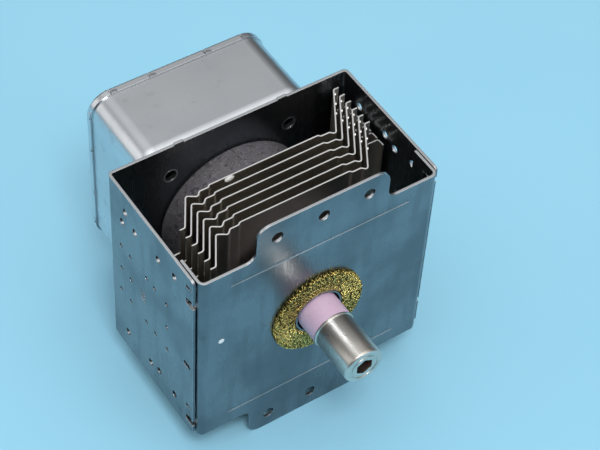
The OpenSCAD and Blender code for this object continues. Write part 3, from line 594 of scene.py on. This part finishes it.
# Moulded resin: brick-red body, half matt, with small flow marks
RESIN = Finish(
    "moulded_resin",
    "#8c3b2e",
    0.42,
    metallic=0.0,
    layers=(
        Layer(Pattern(6, 0.4, 0.66), "#7a3227", 0.6, 0.06),
        Layer(Pattern(0.5, 0.55, 0.66), "#9c4a3a", 0.4),
    ),
    reliefs=(Relief(Pattern(0.5, 0.3, 0.7), 0.015),),
    edge=Edge("#a5564a", 0.25, 0.5),
)

# Tinned brass: pale soft-shining blades with lengthwise wipe marks
TINNED_BRASS = Finish(
    "tinned_brass_strip",
    "#cfcdc6",
    0.26,
    layers=(
        Layer(Pattern(5, 0.4, 0.66), "#b6b3aa", 0.6, 0.06),
        Layer(Pattern(0.35, 0.45, 0.62, stretch=BLADE_GRAIN), "#aeaba2", 0.4, 0.05),
    ),
    reliefs=(Relief(Pattern(0.3, 0.2, 0.8, stretch=BLADE_GRAIN), 0.003),),
    edge=Edge("#e6e4de", 0.15, 0.6),
)

# Marking paint: a thick white drop with a dull skin
WHITE_PAINT = Finish(
    "white_marking_paint",
    "#f4f5f3",
    0.5,
    metallic=0.0,
    layers=(Layer(Pattern(0.9, 0.4, 0.66), "#e2e5e5", 0.6, 0.1),),
    reliefs=(Relief(Pattern(0.7, 0.3, 0.7), 0.03),),
)

# Set silicone glue: white, soft and slightly shiny
GLUE = Finish(
    "silicone_glue",
    "#f0f1ee",
    0.4,
    metallic=0.0,
    layers=(Layer(Pattern(1.2, 0.4, 0.66), "#dfe2e0", 0.6, 0.1),),
    reliefs=(Relief(Pattern(0.8, 0.3, 0.7), 0.04),),
)

# Plain pale card: matt, very slightly uneven in tone
CARD = Finish(
    "pale_card",
    "#9bd8f2",
    0.8,
    metallic=0.0,
    layers=(Layer(Pattern(60, 0.3, 0.7), "#9edaf3", 0.5),),
)


# How finely a lump is divided, and how far and how often it swells
LUMP_RINGS, LUMP_SIDES = 10, 18
LUMP_SWELL, LUMP_WAVES = 0.25, 1.7


def mesh_object(
    name: str, points: list[Vector], faces: list[tuple[int, ...]], smooth: bool = True
) -> bpy.types.Object:
    """Makes a mesh object and puts it in the scene.

    Args:
        name: The object's name.
        points: Its points, in metres.
        faces: Point numbers of each face.
        smooth: Whether the faces are shaded smoothly.

    Returns:
        The new object.
    """
    mesh = bpy.data.meshes.new(name)
    mesh.from_pydata([tuple(p) for p in points], [], faces)
    mesh.validate()
    mesh.polygons.foreach_set("use_smooth", [smooth] * len(mesh.polygons))
    made = bpy.data.objects.new(name, mesh)
    bpy.context.scene.collection.objects.link(made)
    return made


def triangles(made: bpy.types.Object) -> int:
    """Counts the triangles of a mesh object."""
    return sum(len(p.vertices) - 2 for p in made.data.polygons)


def lump(name: str, centre: Triple, half: Triple) -> bpy.types.Object:
    """Makes a soft, slightly uneven lump.

    Args:
        name: The object's name.
        centre: Its middle, in millimetres.
        half: Its half sizes along X, Y and Z, in millimetres.

    Returns:
        The new object.
    """
    rings, sides = LUMP_RINGS, LUMP_SIDES
    points: list[Vector] = []
    for i in range(rings + 1):
        polar = math.pi * i / rings
        for j in range(sides):
            turn = 2 * math.pi * j / sides
            across = math.sin(polar)
            ray = Vector((across * math.cos(turn), across * math.sin(turn), math.cos(polar)))
            swell = 1 + LUMP_SWELL * noise.noise(ray * LUMP_WAVES + SEED)
            points.append(Vector(a + b * c * swell for a, b, c in zip(centre, half, ray)) * MM)
    faces: list[tuple[int, ...]] = []
    for i in range(rings):
        for j in range(sides):
            here, there = i * sides + j, i * sides + (j + 1) % sides
            faces.append((here, there, there + sides, here + sides))
    return mesh_object(name, points, faces)


@dataclass
class SubAssembly:
    """A group of the model's nodes.

    Attributes:
        label: What the log calls it.
        dress: The finish of each node.
    """

    label: str
    dress: dict[str, Finish]

    def build(self) -> None:
        """Dresses the nodes, then makes the added pieces."""
        for node, finish in self.dress.items():
            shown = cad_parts[node]
            shown.data.materials.clear()
            shown.data.materials.append(finish.material())
        LOG.info("%s: %d nodes dressed", self.label, len(self.dress))
        self.add_pieces()

    def add_pieces(self) -> None:
        """Makes the pieces that the model doesn't have. Most groups have none."""

    def keep(self, piece: bpy.types.Object, *finishes: Finish) -> None:
        """Gives an added piece its finishes and fixes it to the body.

        Args:
            piece: The added piece.
            *finishes: Its finishes, in the order of its material numbers.
        """
        for finish in finishes:
            piece.data.materials.append(finish.material())
        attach(piece, "root")
        LOG.info("%s: added %s, %d triangles", self.label, piece.name, triangles(piece))


@dataclass
class KnittedGasket:
    """The wire gasket: rows of knitted loops round a packed core, in millimetres.

    The section is the node's, a flat ring with rounded edges, but stands square on the plate.
    The real wire is about 0.1 mm thick. It is drawn thicker, in fewer stitches, to show at all.

    Attributes:
        inner: Inner radius of the ring.
        outer: Outer radius of the ring.
        thick: Height of the ring over the plate.
        rows: Rows of stitches, from the inner foot to the outer foot.
        stitches: Stitches in a row.
        steps: Points of the wire in a stitch.
        wire: Thickness of the wire.
        layers: Layers of rows, one under the other.
        jitter: How far a point strays along the surface.
        row_turn: How far each row is turned on from the last, in radians.
        layer_turn: The same for each layer.
        stray: Steps through the noise for each stitch, row and layer.
        lean: How far a stitch leans to and fro.
        reach: Height of a stitch, in rows.
        lie: Depth of the wire's middle under the surface, in wires.
        dip: How much deeper it goes where it passes under, in wires.
        layer_gap: Depth from layer to layer, in wires.
        sag: How far a point may sag into the ring.
        core_sink: Depth of the core under the surface.
        core_turns: Steps of the core round the ring.
        core_parts: Points of the core's section.
    """

    inner: float = 9.25
    outer: float = 18.0
    thick: float = 2.0
    rows: int = 10
    stitches: int = 58
    steps: int = 8
    wire: float = 0.34
    layers: int = 2
    jitter: float = 0.45
    row_turn: float = 0.7
    layer_turn: float = 1.9
    stray: Triple = (1.7, 3.1, 7.7)
    lean: float = 0.3
    reach: float = 0.75
    lie: float = 0.5
    dip: float = 0.6
    layer_gap: float = 1.4
    sag: float = 0.3
    core_sink: float = 0.7
    core_turns: int = 96
    core_parts: int = 28

    @property
    def round_r(self) -> float:
        """Radius of the rounded edges."""
        return self.thick / 2

    @property
    def flat(self) -> float:
        """Width of the level front."""
        return self.outer - self.inner - 2 * self.round_r

    @property
    def girth(self) -> float:
        """Length of the section's outline from the inner foot to the outer foot."""
        return (math.pi + 2) * self.round_r + self.flat

    def section(self, along: float) -> tuple[float, float, float, float]:
        """Finds a point of the section's outline: foot, rounding, level front and back again.

        Args:
            along: Distance from the inner foot.

        Returns:
            Radius and depth of the point, then of its outward normal.
        """
        shift = along - self.girth / 2
        side = math.copysign(1.0, shift)
        past = abs(shift) - self.flat / 2
        centre = (self.inner + self.outer) / 2
        if past < 0:
            return centre + shift, -self.thick, 0.0, -1.0
        angle = min(past / self.round_r, math.pi / 2)
        n_r, n_y = side * math.sin(angle), -math.cos(angle)
        foot = past - angle * self.round_r
        radius = centre + side * self.flat / 2 + self.round_r * n_r
        return radius, self.round_r * (n_y + 1) - self.thick + foot, n_r, n_y

    def place(self, turn: float, along: float, sink: float) -> tuple[Vector, Vector]:
        """Finds a point under the surface, and the normal there.

        Args:
            turn: Angle round the ring, in radians.
            along: Distance along the section's outline.
            sink: Depth under the outline.

        Returns:
            The point in millimetres and the outward normal.
        """
        radius, depth, n_r, n_y = self.section(along)
        out = Vector((math.cos(turn), 0.0, math.sin(turn)))
        normal = out * n_r + Vector((0.0, n_y, 0.0))
        return out * radius + Vector((0.0, depth, 0.0)) - normal * sink, normal

    def loop(self, row: int, layer: int) -> Iterator[tuple[Vector, Vector]]:
        """Follows one row of stitches round the ring.

        Args:
            row: Number of the row, from the inner foot.
            layer: Number of the layer, from the outside.

        Yields:
            Points of the wire, each with the surface's normal.
        """
        pitch = self.girth / self.rows
        middle = pitch * (row + 0.5)
        shift = self.row_turn * row + self.layer_turn * layer
        per_stitch, per_row, per_layer = self.stray
        count = self.stitches * self.steps
        for i in range(count):
            phase = 2 * math.pi * i / self.steps
            wander = noise.noise_vector(
                Vector((per_stitch * i / self.steps, row * per_row, layer * per_layer)) + SEED
            )
            lean = self.lean * math.sin(2 * phase) + self.jitter * wander.x
            turn = 2 * math.pi * i / count + shift + lean / self.outer
            along = middle + self.reach * pitch * math.cos(phase) + self.jitter * wander.y
            under = self.dip * (1 + math.cos(2 * phase))
            sink = self.wire * (self.lie + under + self.layer_gap * layer)
            edge = self.wire / 2
            along = min(max(along, edge), self.girth - edge)
            yield self.place(turn, along, sink + self.sag * abs(wander.z))

    def piece(self) -> bpy.types.Object:
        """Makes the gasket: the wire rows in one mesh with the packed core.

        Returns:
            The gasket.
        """
        points: list[Vector] = []
        faces: list[tuple[int, ...]] = []
        for layer in range(self.layers):
            for row in range(self.rows):
                self._tube(list(self.loop(row, layer)), points, faces)
        wires = len(faces)
        self._core(points, faces)
        made = mesh_object("rf_gasket_knit", [p * MM for p in points], faces)
        made.data.polygons.foreach_set(
            "material_index", [0 if i < wires else 1 for i in range(len(faces))]
        )
        return made

    def _tube(
        self,
        path: list[tuple[Vector, Vector]],
        points: list[Vector],
        faces: list[tuple[int, ...]],
    ) -> None:
        """Adds a closed four-sided wire along a path.

        Args:
            path: Points of the wire, each with the surface's normal.
            points: Points of the mesh, which get the wire's.
            faces: Faces of the mesh, which get the wire's.
        """
        first, count, corners = len(points), len(path), 4
        for i, (point, normal) in enumerate(path):
            ahead = path[(i + 1) % count][0] - path[i - 1][0]
            side = ahead.cross(normal).normalized() * self.wire / 2
            lift = normal * self.wire / 2
            points += [point + lift, point + side, point - lift, point - side]
        for i in range(count):
            here, there = first + corners * i, first + corners * ((i + 1) % count)
            for j in range(corners):
                k = (j + 1) % corners
                faces.append((here + j, there + j, there + k, here + k))

    def _core(self, points: list[Vector], faces: list[tuple[int, ...]]) -> None:
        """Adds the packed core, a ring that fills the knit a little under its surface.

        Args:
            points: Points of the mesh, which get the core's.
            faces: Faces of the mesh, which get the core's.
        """
        # The core stands in for the deeper turns, and its finish paints them dark, as the shade
        # inside the knit
        turns, parts = self.core_turns, self.core_parts
        first = len(points)
        for i in range(turns):
            for j in range(parts):
                turn, along = 2 * math.pi * i / turns, self.girth * j / (parts - 1)
                points.append(self.place(turn, along, self.core_sink)[0])
        for i in range(turns):
            here, there = first + i * parts, first + (i + 1) % turns * parts
            for j in range(parts - 1):
                faces.append((here + j, here + j + 1, there + j + 1, there + j))


@dataclass
class Antenna(SubAssembly):
    """Ceramic, cap and gasket on the mounting face."""

    gasket: KnittedGasket = field(default_factory=KnittedGasket)

    def add_pieces(self) -> None:
        """Knits the gasket in place of the plain ring."""
        knit = self.gasket.piece()
        self.keep(knit, BRASS_WIRE, BRASS_DEPTH_SHADED)
        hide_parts("rf_gasket")


@dataclass
class Yoke(SubAssembly):
    """Folded yoke and front plate, with a drop of marking paint on the mounting face.

    Attributes:
        drop_at: Middle of the drop, in millimetres.
        drop_size: Its half sizes along X, Y and Z, in millimetres.
    """

    drop_at: Triple = (-38.0, 0.0, 7.8)
    drop_size: Triple = (1.1, 0.15, 1.1)

    def add_pieces(self) -> None:
        """Makes the drop, half sunk in the face."""
        self.keep(lump("paint_drop", self.drop_at, self.drop_size), WHITE_PAINT)


@dataclass
class FinStack(SubAssembly):
    """The folded fins, with a dab of glue left on the rearmost one's edge.

    Attributes:
        dab_at: Middle of the dab, in millimetres.
        dab_size: Its half sizes along X, Y and Z, in millimetres.
    """

    dab_at: Triple = (-14.0, 34.6, 40.6)
    dab_size: Triple = (1.8, 0.55, 1.2)

    def add_pieces(self) -> None:
        """Makes the dab on the fin's front face, under its top edge."""
        self.keep(lump("glue_dab", self.dab_at, self.dab_size), GLUE)


@dataclass(frozen=True)
class Lamp:
    """A square soft lamp that faces the object.

    Attributes:
        name: Its name.
        place: Where it hangs, in millimetres.
        side: Length of its sides, in millimetres.
        watts: Its power.
    """

    name: str
    place: Triple
    side: float
    watts: float


@dataclass
class Studio:
    """Pale floor, soft light and the camera that matches the photograph, in millimetres.

    Attributes:
        aim: Point that the camera and the lamps face.
        back: Direction from the aim to the camera.
        right: Direction to the right of the picture.
        up: Direction to the top of the picture.
        distance: Distance of the camera from the aim.
        lens: Focal length.
        sensor: Width of the camera's sensor.
        floor_z: Height of the floor.
        floor_half: Half the floor's side.
        sky: Colour of the room's light.
        horizon: Strength of the room's light from the sides.
        zenith: Its strength from overhead.
        gather: How closely the strong light gathers overhead.
        lamps: Key lamp over the front, low fill lamp and a weak rim lamp behind.
    """

    aim: Triple = (12.11, 29.18, 6.64)
    back: Triple = (-0.3843, -0.5219, 0.7615)
    right: Triple = (0.8347, -0.5488, 0.0451)
    up: Triple = (0.3944, 0.6529, 0.6466)
    distance: float = 655.34
    lens: float = 113.6
    sensor: float = 36.0
    floor_z: float = -55.5
    floor_half: float = 4000.0
    sky: str = "#fafbfc"
    horizon: float = 0.12
    zenith: float = 1.75
    gather: float = 4.0
    lamps: tuple[Lamp, ...] = (
        Lamp("key", (-280, -600, 1200), 360, 6.8),
        Lamp("fill", (560, -1320, 500), 900, 4.0),
        Lamp("rim", (-1140, 800, 570), 900, 2.5),
    )

    def build(self) -> None:
        """Sets the stage."""
        self._floor()
        self._world()
        for lamp in self.lamps:
            self._hang(lamp)
        self._camera()
        bpy.context.scene.view_settings.view_transform = "Standard"
        LOG.info("studio: floor, light and camera set")

    def _floor(self) -> None:
        """Lays a plain pale card under the object."""
        half, z = self.floor_half, self.floor_z
        plan = ((-half, -half), (half, -half), (half, half), (-half, half))
        corners = [Vector((x, y, z)) * MM for x, y in plan]
        floor = mesh_object("floor", corners, [(0, 1, 2, 3)], smooth=False)
        floor.data.materials.append(CARD.material())

    def _world(self) -> None:
        """Fills the room with soft white light, brightest overhead."""
        world = bpy.data.worlds.new("room")
        bpy.context.scene.world = world
        world.use_nodes = True
        tree = world.node_tree
        sky = tree.nodes["Background"]
        sky.inputs["Color"].default_value = to_linear(self.sky)
        place = add_node(tree, "ShaderNodeTexCoord", {})
        height = add_node(tree, "ShaderNodeSeparateXYZ", {0: place.outputs["Generated"]})
        rise = add_node(
            tree,
            "ShaderNodeMath",
            {0: height.outputs["Z"], 1: self.gather},
            operation="POWER",
            use_clamp=True,
        )
        limits = {"Value": rise.outputs[0], "To Min": self.horizon, "To Max": self.zenith}
        strength = add_node(tree, "ShaderNodeMapRange", limits)
        tree.links.new(strength.outputs[0], sky.inputs["Strength"])

    def _hang(self, lamp: Lamp) -> None:
        """Hangs a lamp and turns it to the aim.

        Args:
            lamp: What to hang, and where.
        """
        data = bpy.data.lights.new(lamp.name, "AREA")
        data.shape = "SQUARE"
        data.size = lamp.side * MM
        data.energy = lamp.watts
        made = bpy.data.objects.new(lamp.name, data)
        made.location = Vector(lamp.place) * MM
        towards = (Vector(self.aim) - Vector(lamp.place)).normalized()
        made.rotation_euler = towards.to_track_quat("-Z", "Y").to_euler()
        bpy.context.scene.collection.objects.link(made)

    def _camera(self) -> None:
        """Sets the camera where the photograph was taken from."""
        data = bpy.data.cameras.new("camera")
        data.sensor_fit = "HORIZONTAL"
        data.sensor_width = self.sensor
        data.lens = self.lens
        camera = bpy.data.objects.new("camera", data)
        bpy.context.scene.collection.objects.link(camera)
        axes = Matrix((self.right, self.up, self.back)).transposed()
        place = (Vector(self.aim) + Vector(self.back) * self.distance) * MM
        camera.matrix_world = Matrix.Translation(place) @ axes.to_4x4()
        bpy.context.scene.camera = camera


def main() -> None:
    """Dresses each sub-assembly, then sets the studio."""
    logging.basicConfig(level=logging.INFO, format="%(name)s: %(message)s")
    noise.seed_set(NOISE_SEED)
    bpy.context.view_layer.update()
    groups: list[SubAssembly] = [
        Yoke("yoke", {"yoke_frame": ZINC_STEEL, "front_plate": ZINC_STEEL}),
        SubAssembly("magnets", {"front_magnet": FERRITE, "rear_magnet": FERRITE}),
        FinStack("fins", {f"cooling_fin_{i}": FIN_ALUMINIUM for i in range(1, 7)}),
        SubAssembly(
            "tube",
            {
                "anode_cylinder": COPPER,
                "anode_vanes": COPPER,
                "strap_rings": COPPER,
                "antenna_lead": COPPER,
                "exhaust_tube": COPPER,
                "front_pole_piece": SOFT_IRON,
                "rear_pole_piece": SOFT_IRON,
                "front_seal_cup": SEAL_METAL,
                "rear_seal_cup": SEAL_METAL,
                "cathode_filament": TUNGSTEN,
                "front_end_hat": TUNGSTEN,
                "rear_end_hat": TUNGSTEN,
                "centre_lead": TUNGSTEN,
                "side_lead": TUNGSTEN,
            },
        ),
        Antenna(
            "antenna",
            {"antenna_ceramic": PINK_ALUMINA, "antenna_cap": NICKEL, "rf_gasket": BRASS_DEPTH_SHADED},
        ),
        SubAssembly(
            "filter",
            {
                "filter_box": BOX_STEEL,
                "filter_lid": BOX_STEEL,
                "capacitor_flange": BOX_STEEL,
                "capacitor_rivets": BOX_STEEL,
                "stem_ceramic": WHITE_ALUMINA,
                "stem_terminals": SEAL_METAL,
                "capacitor_body": RESIN,
                "capacitor_blades": TINNED_BRASS,
                "choke_core_1": CHOKE_FERRITE,
                "choke_core_2": CHOKE_FERRITE,
                "choke_coil_1": COPPER,
                "choke_coil_2": COPPER,
            },
        ),
    ]
    for group in groups:
        group.build()
    Studio().build()


if __name__ == "__main__":
    main()
